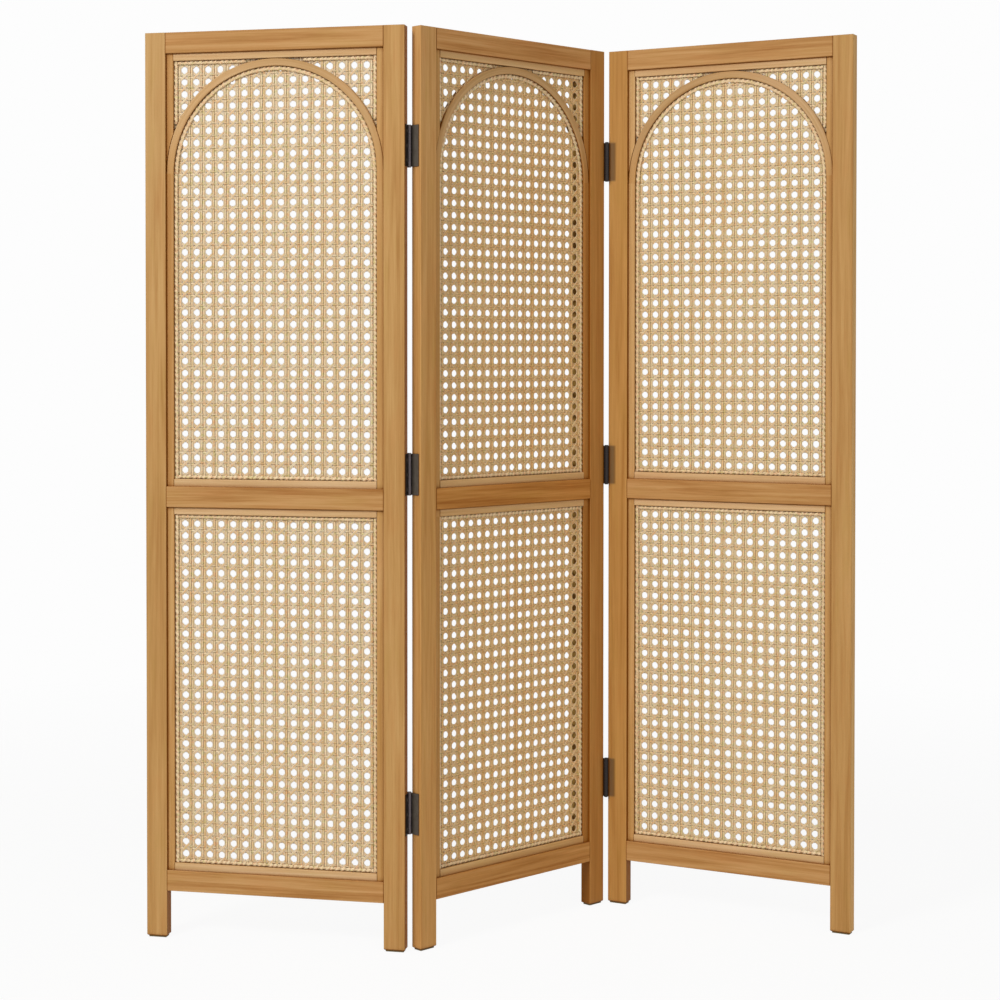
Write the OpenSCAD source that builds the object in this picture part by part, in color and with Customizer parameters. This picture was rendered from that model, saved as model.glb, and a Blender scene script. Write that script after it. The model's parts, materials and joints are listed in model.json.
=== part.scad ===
// Three-panel folding screen: wooden frames, woven cane webbing and a bent arch in each panel.
// Millimetres, +Z up. X runs across the screen, +Y points away from the side that is looked at.
// The origin lies on the floor, in the middle of the standing screen's bounding box.

/* [Panels] */
// Width of one panel over its two stiles
panel_w = 500; // [420:5:620]
// Height of the screen from the floor to the top of the stiles
panel_h = 1700; // [1440:10:2060]
// Thickness of the wooden frame
frame_t = 24; // [22:0.5:32]

/* [Frame members] */
// Face width of the stiles, which run down to the floor as legs
stile_w = 40; // [33:1:56]
// Face height of the three rails
rail_h = 39; // [30:1:52]
// Height of the bottom rail's underside above the floor
leg_h = 89; // [60:1:140]
// Height of the middle rail's underside above the floor
middle_z = 812; // [670:1:980]
// Radius of the eased long edges of stiles and rails
edge_r = 1.5; // [0.5:0.25:2]
// Length of the stub tenon at each end of a rail
tenon_l = 16; // [8:1:20]
// Thickness of the stub tenons
tenon_t = 8; // [6:0.5:12]
// Height of the shoulder above and below each tenon
tenon_shoulder = 6; // [3:0.5:9]
// Clearance round a tenon in its mortise
tenon_clear = 0.15; // [0.05:0.05:0.3]
// How much the bottom ends of the legs are eased
foot_ease = 2; // [0.5:0.25:3]
// How much the top ends of the stiles are eased
top_ease = 0.75; // [0.25:0.25:1.5]

/* [Inner frame] */
// Face width of the battens that carry the webbing from behind, along the left side and both ends
batten_w = 22; // [16:1:26]
// Face width of the batten along the right side, which reaches the last column of holes
wide_batten_w = 28; // [22:1:30]
// How far the battens sit in from the back face
batten_inset = 1; // [0.5:0.25:3]
// Width of the slot that holds the webbing between the battens and the beads
cane_slot = 2; // [1.8:0.1:3]
// Gap left at the butt joints of the battens and of the beads
joint_gap = 0.2; // [0.1:0.05:0.4]

/* [Beads and arch] */
// Face width of the beads round each opening
bead_w = 14; // [10:1:16]
// Thickness of the beads
bead_t = 6; // [4:0.5:7]
// How far the beads sit in from the front face
bead_inset = 5; // [2:0.25:6]
// Radius on the beads' front inner edge
bead_r = 2; // [0.5:0.25:3]
// How far the arch strip stands in front of the beads
arch_proud = 0; // [0:0.25:1.5]
// Width of the backing arch behind the webbing
backing_w = 19; // [15:1:22]
// Thickness of the backing arch
backing_t = 5; // [3:0.5:6]
// Clearance between the arch strip and what it meets
arch_clear = 0.2; // [0.1:0.05:0.5]
// Thinnest tip left on a bead that is scribed to the arch
tip_w = 1.5; // [1:0.25:3]

/* [Cane webbing] */
// Columns of holes in the left, center and right panels
cane_columns = [16, 17, 17]; // [10:1:19]
// Rows of holes in the upper and lower sheets
cane_rows = [34, 28]; // [12:1:34]
// Diameter of the holes
cane_hole = 13; // [6:0.5:13]
// Thickness of the woven sheet
cane_t = 1.4; // [0.8:0.1:1.6]
// Distance from the stiles to the centre of the first column of holes
cane_side = 34; // [33:1:42]
// Distance from the rails to the centre of the first row of holes
cane_end = 31; // [30:1:40]
// How far the sheet stops short of the opening's edges
cane_trim = 1.5; // [0.5:0.5:4]
// Diameter of the twisted edging where the webbing meets the beads and the arch
edging_d = 4.6; // [3:0.2:5]
// Clearance between the edging and what it lies against
edging_clear = 0.1; // [0.05:0.05:0.2]

/* [Hinges] */
// Length of each hinge leaf
leaf_h = 76; // [60:1:102]
// Width of the leaf that lies on the edge of a stile
leaf_w = 19; // [15:0.5:20]
// Thickness of the leaves
leaf_t = 1.6; // [1.2:0.1:1.8]
// Outside diameter of the knuckles
barrel_d = 9; // [8:0.5:12]
// Number of knuckles in one hinge
knuckles = 5; // [3:2:7]
// Diameter of the hinge pins
pin_d = 5; // [3:0.5:6]
// Radial clearance of a pin in its knuckles
pin_clear = 0.05; // [0.02:0.01:0.1]
// Clearance between a knuckle and whatever it turns past
knuckle_clear = 0.3; // [0.2:0.05:0.5]
// Gap between the edges of two panels when the screen stands flat
edge_gap = 4; // [4:0.5:8]
// Distance from the top of the screen to the middle of the top hinges
top_hinge_drop = 219; // [120:1:300]
// Height of the middle hinges above the floor
middle_hinge_z = 878; // [700:1:1000]
// Height of the bottom hinges above the floor
bottom_hinge_z = 252; // [160:1:400]

/* [Screws] */
// Diameter of the screw shanks
screw_d = 3.5; // [3:0.5:4]
// Diameter of the countersunk heads
screw_head_d = 6.4; // [5:0.2:7]
// Length of the screws
screw_l = 20; // [12:1:25]
// Spacing of the three screws in a leaf
screw_pitch = 27; // [18:1:28]
// Clearance round a screw
screw_clear = 0.05; // [0.02:0.01:0.1]

/* [Feet] */
// Thickness of the foot pads
pad_t = 3; // [2:0.5:6]
// How far the pads sit in from the sides of the legs
pad_inset = 3; // [2:0.5:6]

/* [Standing pose] */
// Angle of the center panel to the screen's long direction
center_turn = 43.5; // [20:0.5:60]
// Angle between the left and center panels, measured behind the screen
left_angle = 124; // [60:1:180]
// Angle between the center and right panels, measured in front of the screen
right_angle = 108; // [60:1:180]

/* [Hidden] */
$fn = 48;
LEFT = 0;
CENTER = 1;
RIGHT = 2;
UPPER = 0;
LOWER = 1;
wood = "#c0935a";
rail_wood = "#b88950";
bead_wood = "#d0a472";
cane_color = "#dcbf8c";
bronze = "#3a322e";
pad_color = "#2a2725";

// Openings of a panel: left edge, right edge, and the heights between which each one lies
open_left = stile_w;
open_right = panel_w - stile_w;
open_w = open_right - open_left;
inner_w = open_w - batten_w - wide_batten_w;
top_z = panel_h - rail_h;
open_bottom = [middle_z + rail_h, leg_h + rail_h];
open_top = [top_z, middle_z];

// Depths measured from the front face of the frame
bead_back = bead_inset + bead_t;
batten_front = bead_back + cane_slot;
batten_back = frame_t - batten_inset;
cane_front = bead_back + (cane_slot - cane_t) / 2;
arch_front = bead_inset - arch_proud;

// Centre line and radius of the arch, whose crown meets the top bead
arch_x = panel_w / 2;
arch_r = open_w / 2 - arch_clear;
arch_z = top_z - bead_w - arch_clear - arch_r;

// The edging's centre line: its distance in from the opening's edges and its depth
edging_in = bead_w + arch_clear + edging_clear + edging_d / 2;
edging_depth = cane_front - edging_clear - edging_d / 2;

// Hinge axes lie outside the faces, clear of them by the same gap as the knuckles keep
axis_out = barrel_d / 2 + knuckle_clear;
axis_side = edge_gap / 2;
hinge_z = [panel_h - top_hinge_drop, middle_hinge_z, bottom_hinge_z];
screw_depth = axis_out + leaf_w / 2 + 1;
head_h = leaf_t - 0.1;
pin_head_d = pin_d + 2;
pin_head_h = 1.2;

// Where the panels stand: each turn is about Z, and each place is that of a panel's front left corner
turns = [center_turn - 180 + left_angle, center_turn, center_turn - 180 + right_angle];
function turned(p, a) = [p.x * cos(a) - p.y * sin(a), p.x * sin(a) + p.y * cos(a)];
left_axis = turned([-axis_side, frame_t + axis_out], turns[CENTER]);
right_axis = turned([panel_w + axis_side, -axis_out], turns[CENTER]);
corners = [
    left_axis - turned([panel_w + axis_side, frame_t + axis_out], turns[LEFT]),
    [0, 0],
    right_axis - turned([-axis_side, -axis_out], turns[RIGHT]),
];
edge_centres = [
    for (p = [LEFT:RIGHT], x = [edge_r, panel_w - edge_r], y = [edge_r, frame_t - edge_r])
        corners[p] + turned([x, y], turns[p])
];
middle_x = (min([for (c = edge_centres) c.x]) + max([for (c = edge_centres) c.x])) / 2;
middle_y = (min([for (c = edge_centres) c.y]) + max([for (c = edge_centres) c.y])) / 2;

// Stands a panel, drawn with its front left corner at the origin, in its place in the screen
module place(p) {
    translate([corners[p].x - middle_x, corners[p].y - middle_y, 0])
        rotate([0, 0, turns[p]])
            children();
}

// Rectangle with round corners
module soft_square(size, r) {
    translate([r, 0]) square([size.x - 2 * r, size.y]);
    translate([0, r]) square([size.x, size.y - 2 * r]);
    for (x = [r, size.x - r], y = [r, size.y - r])
        translate([x, y]) circle(r = r);
}

// Outline of a moulding that lies against y = 0, with its far corner at x = w rounded, and both if asked
module moulding(w, t, r, both = false) {
    near = both ? r : 0;
    square([w, t - r]);
    translate([near, 0]) square([w - r - near, t]);
    translate([w - r, t - r]) circle(r = r);
    if (both) translate([r, t - r]) circle(r = r);
}

// Turns a flat drawing of a panel's face, x across and y up, into a layer at a depth from the front
module layer(front, thickness) {
    translate([0, front + thickness, 0])
        rotate([90, 0, 0])
            linear_extrude(thickness) children();
}

// Puts children at the hinge axis, with x towards the stile and y into its thickness, on panel p's edge
module at_hinge(p, side) {
    x = side == LEFT ? -axis_side : panel_w + axis_side;
    behind = (p == LEFT) || (p == CENTER && side == LEFT);
    translate([x, behind ? frame_t + axis_out : -axis_out, 0])
        mirror([side == LEFT ? 0 : 1, 0, 0])
            mirror([0, behind ? 1 : 0, 0])
                children();
}

// Which edges of a panel carry hinges
function hinged(p) = p == LEFT ? [RIGHT] : p == CENTER ? [LEFT, RIGHT] : [LEFT];
function has_hinges(p, side) = min([for (s = hinged(p)) abs(s - side)]) == 0;

module screw_hole(r) {
    for (dz = [-screw_pitch, 0, screw_pitch])
        translate([axis_side - leaf_t, screw_depth, dz])
            rotate([0, 90, 0]) cylinder(r = r, h = leaf_t + screw_l + 1);
}

// Side view of a stile so wide, with its ends eased
module eased_side(width, height) {
    polygon([[foot_ease, 0], [width - foot_ease, 0], [width, foot_ease], [width, height - top_ease],
        [width - top_ease, height], [top_ease, height], [0, height - top_ease], [0, foot_ease]]);
}

module eased_post(height) {
    intersection() {
        linear_extrude(height) soft_square([stile_w, frame_t], edge_r);
        layer(0, frame_t) eased_side(stile_w, height);
        rotate([90, 0, 90]) linear_extrude(stile_w) eased_side(frame_t, height);
    }
}

module stile(p, side) {
    x = side == LEFT ? 0 : open_right;
    mortise = [tenon_l + tenon_clear + 0.5, tenon_t + 2 * tenon_clear,
        rail_h - 2 * tenon_shoulder + 2 * tenon_clear];
    color(wood) difference() {
        translate([x, 0, pad_t]) eased_post(panel_h - pad_t);
        for (z = [leg_h, middle_z, top_z])
            translate([side == LEFT ? open_left - mortise.x + 0.01 : open_right - 0.01,
                (frame_t - mortise.y) / 2, z + (rail_h - mortise.z) / 2])
                cube(mortise);
        if (has_hinges(p, side))
            at_hinge(p, side)
                for (z = hinge_z)
                    translate([0, 0, z]) screw_hole(screw_d / 2 + screw_clear);
    }
}

module rail(z) {
    color(rail_wood) {
        translate([open_left, 0, z])
            rotate([90, 0, 90])
                linear_extrude(open_w) soft_square([frame_t, rail_h], edge_r);
        translate([open_left - tenon_l, (frame_t - tenon_t) / 2, z + tenon_shoulder])
            cube([open_w + 2 * tenon_l, tenon_t, rail_h - 2 * tenon_shoulder]);
    }
}

module cane(p, level) {
    columns = cane_columns[p];
    rows = cane_rows[level];
    bottom = open_bottom[level];
    height = open_top[level] - bottom;
    pitch_x = (open_w - 2 * cane_side) / (columns - 1);
    pitch_z = (height - 2 * cane_end) / (rows - 1);
    color(cane_color)
        layer(cane_front, cane_t)
            difference() {
                translate([open_left + cane_trim, bottom + cane_trim])
                    square([open_w - 2 * cane_trim, height - 2 * cane_trim]);
                for (i = [0:columns - 1], j = [0:rows - 1])
                    translate([open_left + cane_side + i * pitch_x, bottom + cane_end + j * pitch_z])
                        circle(d = cane_hole, $fn = 16);
            }
}

module inner_frame() {
    depth = batten_back - batten_front;
    color(wood)
        for (level = [UPPER, LOWER]) {
            bottom = open_bottom[level];
            top = open_top[level];
            translate([open_left, batten_front, bottom]) cube([batten_w, depth, top - bottom]);
            translate([open_right - wide_batten_w, batten_front, bottom])
                cube([wide_batten_w, depth, top - bottom]);
            for (z = [bottom, top - batten_w])
                translate([open_left + batten_w + joint_gap, batten_front, z])
                    cube([inner_w - 2 * joint_gap, depth, batten_w]);
        }
}

// A bead that stands against the left side of the opening
module side_bead(bottom, top) {
    translate([open_left, bead_back, bottom])
        mirror([0, 1, 0])
            linear_extrude(top - bottom) moulding(bead_w, bead_t, bead_r);
}

// A bead that lies on the bottom of the opening, between the side beads
module bottom_bead(z) {
    translate([open_left + bead_w + joint_gap, bead_back, z])
        rotate([90, 0, 90])
            linear_extrude(open_w - 2 * bead_w - 2 * joint_gap)
                rotate([0, 0, 90]) moulding(bead_w, bead_t, bead_r);
}

module both_sides() {
    children();
    translate([panel_w, 0, 0]) mirror([1, 0, 0]) children();
}

module end_beads(bottom, top) {
    bottom_bead(bottom);
    translate([0, 0, top]) mirror([0, 0, 1]) bottom_bead(0);
}

// Height above the arch's springing at which its outside is so far in from the side of the opening
function arch_rise(inset) =
    sqrt(pow(arch_r + arch_clear, 2) - pow(open_w / 2 - inset, 2));

module upper_beads() {
    color(bead_wood) {
        both_sides() {
            side_bead(open_bottom[UPPER], arch_z);
            difference() {
                side_bead(arch_z + arch_rise(tip_w), top_z);
                translate([arch_x, 0, arch_z])
                    rotate([-90, 0, 0])
                        cylinder(r = arch_r + arch_clear, h = frame_t, $fn = 96);
            }
        }
        end_beads(open_bottom[UPPER], top_z);
    }
}

module lower_beads() {
    color(bead_wood) {
        both_sides() side_bead(open_bottom[LOWER], open_top[LOWER]);
        end_beads(open_bottom[LOWER], open_top[LOWER]);
    }
}

module arch() {
    color(bead_wood)
        translate([arch_x, bead_back, arch_z])
            rotate([90, 0, 0])
                rotate_extrude(angle = 180, $fn = 96)
                    translate([arch_r - bead_w, 0])
                        moulding(bead_w, bead_back - arch_front, bead_r, both = true);
}

module backing_arch() {
    color(wood)
        layer(batten_front, backing_t)
            intersection() {
                translate([arch_x, arch_z])
                    difference() {
                        circle(r = arch_r, $fn = 96);
                        circle(r = arch_r - backing_w, $fn = 96);
                    }
                translate([open_left + batten_w, arch_z])
                    square([inner_w, top_z - batten_w - arch_z]);
            }
}

// A round cord from one point of the panel's face to another, at the depth of the edging
module cord(from, to) {
    translate([from.x, edging_depth, from.y])
        rotate([0, from.x == to.x ? 0 : 90, 0])
            cylinder(d = edging_d, h = max(to.x - from.x, to.y - from.y));
}

// The edging along one end of an opening, between the cords at the sides
module end_edging(z) {
    start = open_left + edging_in + edging_d / 2 + joint_gap;
    cord([start, z], [panel_w - start, z]);
}

// The edging in the corners above the arch
module corner_edging() {
    x = open_left + edging_in;
    z = top_z - edging_in;
    inner = edging_in + edging_d / 2;
    reach = sqrt(pow(arch_r + arch_clear + edging_clear, 2) - pow(top_z - inner - arch_z, 2));
    cord([x, arch_z + arch_rise(inner) + edging_clear], [x, z + edging_d / 2]);
    cord([open_left + inner + joint_gap, z], [arch_x - reach, z]);
}

module edging() {
    color(cane_color) {
        for (level = [UPPER, LOWER]) end_edging(open_bottom[level] + edging_in);
        end_edging(middle_z - edging_in);
        both_sides() {
            cord([open_left + edging_in, open_bottom[LOWER] + bead_w], [open_left + edging_in, middle_z - bead_w]);
            cord([open_left + edging_in, open_bottom[UPPER] + bead_w], [open_left + edging_in, arch_z]);
            corner_edging();
        }
        translate([arch_x, edging_depth, arch_z])
            rotate([90, 0, 0])
                rotate_extrude(angle = 180, $fn = 96)
                    translate([open_w / 2 - edging_in, 0]) circle(d = edging_d);
    }
}

module foot_pads() {
    color(pad_color)
        for (x = [pad_inset, open_right + pad_inset])
            translate([x, pad_inset, 0])
                linear_extrude(pad_t)
                    soft_square([stile_w - 2 * pad_inset, frame_t - 2 * pad_inset], edge_r);
}

// The knuckles of a hinge that belong to one leaf, made fatter by grow and longer by spread at each end
module knuckle_stack(first, grow = 0, spread = 0) {
    pitch = leaf_h / knuckles;
    for (k = [first:2:knuckles - 1])
        translate([0, 0, k * pitch - leaf_h / 2 + knuckle_clear / 2 - spread])
            cylinder(d = barrel_d + 2 * grow, h = pitch - knuckle_clear + 2 * spread);
}

// A leaf with its axis at the origin and its plate along +y, against a stile that lies at +x
module leaf(first) {
    color(bronze) difference() {
        union() {
            difference() {
                translate([axis_side - leaf_t, 0, -leaf_h / 2])
                    cube([leaf_t, axis_out + leaf_w, leaf_h]);
                knuckle_stack(1 - first, knuckle_clear, knuckle_clear);
            }
            knuckle_stack(first);
        }
        cylinder(r = pin_d / 2 + pin_clear, h = leaf_h + 2, center = true);
        screw_hole(screw_d / 2 + screw_clear);
        for (dz = [-screw_pitch, 0, screw_pitch])
            translate([axis_side - leaf_t, screw_depth, dz])
                rotate([0, 90, 0])
                    cylinder(r1 = screw_head_d / 2 + screw_clear, r2 = screw_d / 2 + screw_clear, h = head_h);
    }
}

module outer_leaf(p, z) {
    place(p) at_hinge(p, p == LEFT ? RIGHT : LEFT) translate([0, 0, z]) leaf(1);
}

module center_leaf(side, z) {
    place(CENTER) at_hinge(CENTER, side) translate([0, 0, z]) leaf(0);
}

module pins(side) {
    color(bronze)
        place(CENTER) at_hinge(CENTER, side)
            for (z = hinge_z)
                translate([0, 0, z]) {
                    cylinder(d = pin_d, h = leaf_h + 2 * pin_head_h, center = true);
                    for (end = [-1, 1])
                        translate([0, 0, end * (leaf_h + pin_head_h) / 2])
                            cylinder(d = pin_head_d, h = pin_head_h, center = true);
                }
}

module screw() {
    cylinder(r1 = screw_head_d / 2, r2 = screw_d / 2, h = head_h);
    cylinder(d = screw_d, h = screw_l - screw_d);
    translate([0, 0, screw_l - screw_d]) cylinder(r1 = screw_d / 2, r2 = 0.2, h = screw_d);
}

module screws(p) {
    color(bronze)
        place(p)
            for (side = hinged(p))
                at_hinge(p, side)
                    for (z = hinge_z, dz = [-screw_pitch, 0, screw_pitch])
                        translate([axis_side - leaf_t, screw_depth, z + dz])
                            rotate([0, 90, 0]) screw();
}

place(LEFT) stile(LEFT, LEFT);  // left_panel_left_stile
place(LEFT) stile(LEFT, RIGHT);  // left_panel_right_stile
place(LEFT) rail(top_z);  // left_panel_top_rail
place(LEFT) rail(middle_z);  // left_panel_middle_rail
place(LEFT) rail(leg_h);  // left_panel_bottom_rail
place(LEFT) cane(LEFT, UPPER);  // left_panel_upper_cane
place(LEFT) cane(LEFT, LOWER);  // left_panel_lower_cane
place(LEFT) inner_frame();  // left_panel_inner_frame
place(LEFT) edging();  // left_panel_edging
place(LEFT) upper_beads();  // left_panel_upper_beads
place(LEFT) lower_beads();  // left_panel_lower_beads
place(LEFT) arch();  // left_panel_arch
place(LEFT) backing_arch();  // left_panel_backing_arch
place(LEFT) foot_pads();  // left_panel_foot_pads
place(CENTER) stile(CENTER, LEFT);  // center_panel_left_stile
place(CENTER) stile(CENTER, RIGHT);  // center_panel_right_stile
place(CENTER) rail(top_z);  // center_panel_top_rail
place(CENTER) rail(middle_z);  // center_panel_middle_rail
place(CENTER) rail(leg_h);  // center_panel_bottom_rail
place(CENTER) cane(CENTER, UPPER);  // center_panel_upper_cane
place(CENTER) cane(CENTER, LOWER);  // center_panel_lower_cane
place(CENTER) inner_frame();  // center_panel_inner_frame
place(CENTER) edging();  // center_panel_edging
place(CENTER) upper_beads();  // center_panel_upper_beads
place(CENTER) lower_beads();  // center_panel_lower_beads
place(CENTER) arch();  // center_panel_arch
place(CENTER) backing_arch();  // center_panel_backing_arch
place(CENTER) foot_pads();  // center_panel_foot_pads
place(RIGHT) stile(RIGHT, LEFT);  // right_panel_left_stile
place(RIGHT) stile(RIGHT, RIGHT);  // right_panel_right_stile
place(RIGHT) rail(top_z);  // right_panel_top_rail
place(RIGHT) rail(middle_z);  // right_panel_middle_rail
place(RIGHT) rail(leg_h);  // right_panel_bottom_rail
place(RIGHT) cane(RIGHT, UPPER);  // right_panel_upper_cane
place(RIGHT) cane(RIGHT, LOWER);  // right_panel_lower_cane
place(RIGHT) inner_frame();  // right_panel_inner_frame
place(RIGHT) edging();  // right_panel_edging
place(RIGHT) upper_beads();  // right_panel_upper_beads
place(RIGHT) lower_beads();  // right_panel_lower_beads
place(RIGHT) arch();  // right_panel_arch
place(RIGHT) backing_arch();  // right_panel_backing_arch
place(RIGHT) foot_pads();  // right_panel_foot_pads
outer_leaf(LEFT, hinge_z[0]);  // left_hinge_top_outer_leaf
center_leaf(LEFT, hinge_z[0]);  // left_hinge_top_center_leaf
outer_leaf(LEFT, hinge_z[1]);  // left_hinge_middle_outer_leaf
center_leaf(LEFT, hinge_z[1]);  // left_hinge_middle_center_leaf
outer_leaf(LEFT, hinge_z[2]);  // left_hinge_bottom_outer_leaf
center_leaf(LEFT, hinge_z[2]);  // left_hinge_bottom_center_leaf
outer_leaf(RIGHT, hinge_z[0]);  // right_hinge_top_outer_leaf
center_leaf(RIGHT, hinge_z[0]);  // right_hinge_top_center_leaf
outer_leaf(RIGHT, hinge_z[1]);  // right_hinge_middle_outer_leaf
center_leaf(RIGHT, hinge_z[1]);  // right_hinge_middle_center_leaf
outer_leaf(RIGHT, hinge_z[2]);  // right_hinge_bottom_outer_leaf
center_leaf(RIGHT, hinge_z[2]);  // right_hinge_bottom_center_leaf
pins(LEFT);  // left_hinge_pins
pins(RIGHT);  // right_hinge_pins
screws(LEFT);  // left_panel_hinge_screws
screws(CENTER);  // center_panel_hinge_screws
screws(RIGHT);  // right_panel_hinge_screws
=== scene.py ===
import json
import math
import random

import bpy
import numpy as np
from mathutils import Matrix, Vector


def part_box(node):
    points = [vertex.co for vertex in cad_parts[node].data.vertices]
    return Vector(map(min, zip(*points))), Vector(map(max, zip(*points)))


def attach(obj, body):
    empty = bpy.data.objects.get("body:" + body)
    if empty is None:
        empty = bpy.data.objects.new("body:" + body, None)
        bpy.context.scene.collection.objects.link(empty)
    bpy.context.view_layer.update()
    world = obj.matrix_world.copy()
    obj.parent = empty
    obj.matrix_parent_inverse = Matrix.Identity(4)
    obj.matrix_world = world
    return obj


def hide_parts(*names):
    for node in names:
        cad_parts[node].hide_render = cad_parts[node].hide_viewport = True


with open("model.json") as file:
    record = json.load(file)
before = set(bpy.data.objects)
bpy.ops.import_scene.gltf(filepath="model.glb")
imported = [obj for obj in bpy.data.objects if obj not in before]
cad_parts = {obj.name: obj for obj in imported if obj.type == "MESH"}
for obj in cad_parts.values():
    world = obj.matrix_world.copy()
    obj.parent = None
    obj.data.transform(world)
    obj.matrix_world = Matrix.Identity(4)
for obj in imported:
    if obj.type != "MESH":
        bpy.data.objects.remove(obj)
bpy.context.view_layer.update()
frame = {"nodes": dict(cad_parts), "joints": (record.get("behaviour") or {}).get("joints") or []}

# The panels' turns about Z in degrees, and their sizes in metres
TURNS = {"left": -12.5, "center": 43.5, "right": -28.5}
PANEL_W, FRAME_T = 0.500, 0.024
STILE_W, BEAD_W = 0.040, 0.014
# A little more than the battens' widths, so that a limit lies in the gap between two battens
BATTEN_W, WIDE_BATTEN_W = 0.0221, 0.0281
# How far the hinges' axes lie out of a panel's face and beyond its edge
AXIS_OUT, AXIS_SIDE = 0.0048, 0.002
# Lowest and highest places of the openings
LEVELS = {"upper": (0.851, 1.661), "lower": (0.128, 0.812)}
ARCH_CENTER, ARCH_R, BACKING_R = (0.250, 1.4370), 0.2098, 0.1908
# Depth of the webbing's middle
CANE_MID = 0.0120
# The CAD's edging cord: its diameter, and how far its middle lies from the edge of the opening
EDGING_D, EDGING_IN = 0.0046, 0.0166
HINGE_LEVELS = ("top", "middle", "bottom")
BARREL_R = 0.0046


def srgb(text):
    """Linear colour from a hex one."""
    parts = [int(text[i:i + 2], 16) / 255 for i in (0, 2, 4)]
    return tuple(c / 12.92 if c <= 0.04045 else ((c + 0.055) / 1.055) ** 2.4 for c in parts)


def add_object(name, data):
    item = bpy.data.objects.new(name, data)
    bpy.context.scene.collection.objects.link(item)
    return item


class Panel:
    """Turns a place on a panel (across, depth from the front, height) into one in the frame."""

    def __init__(self, name, pivot, inside):
        turn = math.radians(TURNS[name])
        self.name, self.turn = name, turn
        self.body = name + "_panel"
        self.across = np.array([math.cos(turn), math.sin(turn), 0.0])
        self.back = np.array([-math.sin(turn), math.cos(turn), 0.0])
        self.up = np.array([0.0, 0.0, 1.0])
        axis = np.array([pivot[0], pivot[1], 0.0])
        self.corner = axis - inside[0] * self.across - inside[1] * self.back

    def place(self, points):
        points = np.asarray(points, float)
        return (self.corner + points[..., 0:1] * self.across + points[..., 1:2] * self.back
                + points[..., 2:3] * self.up)


pivots = {j["name"]: j["pos_m"] for j in frame["joints"]}
PANELS = {
    "left": Panel("left", pivots["left_fold"], (PANEL_W + AXIS_SIDE, FRAME_T + AXIS_OUT)),
    "center": Panel("center", pivots["left_fold"], (-AXIS_SIDE, FRAME_T + AXIS_OUT)),
    "right": Panel("right", pivots["right_fold"], (-AXIS_SIDE, -AXIS_OUT)),
}


# ---- materials

# Tone of a part that has none of its own
PLAIN = (1.0, 1.0, 1.0)


class Graph:
    """The node tree of a material or world, with short calls to add nodes."""

    def __init__(self, owner):
        owner.use_nodes = True
        self.owner, self.tree = owner, owner.node_tree
        self.tree.nodes.clear()

    def add(self, kind, inputs=None, **settings):
        node = self.tree.nodes.new("ShaderNode" + kind)
        for key, value in settings.items():
            setattr(node, key, value)
        for key, value in (inputs or {}).items():
            socket = node.inputs[key]
            if isinstance(value, bpy.types.NodeSocket):
                self.tree.links.new(value, socket)
            elif hasattr(socket, "default_value"):
                if socket.type == "RGBA" and len(value) == 3:
                    value = (*value, 1.0)
                socket.default_value = value
        return node

    def coordinates(self):
        return self.add("TexCoord").outputs["Object"]

    def split(self, vector):
        return self.add("SeparateXYZ", {0: vector}).outputs

    def scaled(self, vector, factors):
        return self.add("VectorMath", {0: vector, 1: factors}, operation="MULTIPLY").outputs[0]

    def math(self, operation, a, b=0.0):
        return self.add("Math", {0: a, 1: b}, operation=operation).outputs[0]

    def weighted(self, *terms):
        """The sum of values, each times its weight."""
        total = None
        for value, weight in terms:
            part = self.math("MULTIPLY", value, weight)
            total = part if total is None else self.math("ADD", total, part)
        return total

    def stretch(self, value, low, high, to_low=0.0, to_high=1.0):
        return self.add("MapRange", {"Value": value, "From Min": low, "From Max": high,
                                     "To Min": to_low, "To Max": to_high}).outputs[0]

    def noise(self, vector, detail=2.0, roughness=0.5, distortion=0.0):
        node = self.add("TexNoise", {"Vector": vector, "Scale": 1.0, "Detail": detail,
                                     "Roughness": roughness, "Distortion": distortion})
        return node.outputs["Fac"]

    def ramp(self, factor, stops):
        node = self.add("ValToRGB", {"Fac": factor})
        elements = node.color_ramp.elements
        while len(elements) < len(stops):
            elements.new(0.5)
        for element, (position, color) in zip(elements, stops):
            element.position = position
            element.color = (*color, 1.0)
        return node.outputs["Color"]

    def mix(self, factor, a, b, blend="MIX"):
        node = self.add("Mix", data_type="RGBA", blend_type=blend)
        for index, value in ((0, factor), (6, a), (7, b)):
            if isinstance(value, bpy.types.NodeSocket):
                self.tree.links.new(value, node.inputs[index])
            elif index == 0:
                node.inputs[index].default_value = value
            else:
                node.inputs[index].default_value = (*value[:3], 1.0)
        return node.outputs[2]

    def tint(self, factor, color, tone):
        """Multiplies a colour by a tone, as far as the factor says."""
        return self.mix(factor, color, tone, blend="MULTIPLY")

    def open_sky(self, reach):
        """1 in the open, and less in corners no wider than the reach."""
        return self.add("AmbientOcclusion", {"Distance": reach}, samples=4).outputs["AO"]

    def seen(self):
        """1 for what the camera sees, straight on or in metal and glass."""
        rays = self.add("LightPath").outputs
        mirrored = self.math("MAXIMUM", rays["Is Glossy Ray"], rays["Is Transmission Ray"])
        return self.math("MAXIMUM", rays["Is Camera Ray"], mirrored)

    def end(self, kind, shader):
        out = self.add("Output" + kind)
        self.tree.links.new(shader, out.inputs["Surface"])
        return self.owner

    def finish(self, color, roughness, height, bump, **values):
        """The shader itself, with a bump of the depth and strength given."""
        depth, strength = bump
        bump_node = self.add("Bump", {"Height": height, "Distance": depth, "Strength": strength})
        inputs = {"Base Color": color, "Roughness": roughness, "Normal": bump_node.outputs[0]}
        return self.end("Material", self.add("BsdfPrincipled", inputs | values).outputs[0])


def new_material(name):
    return Graph(bpy.data.materials.new(name))


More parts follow.
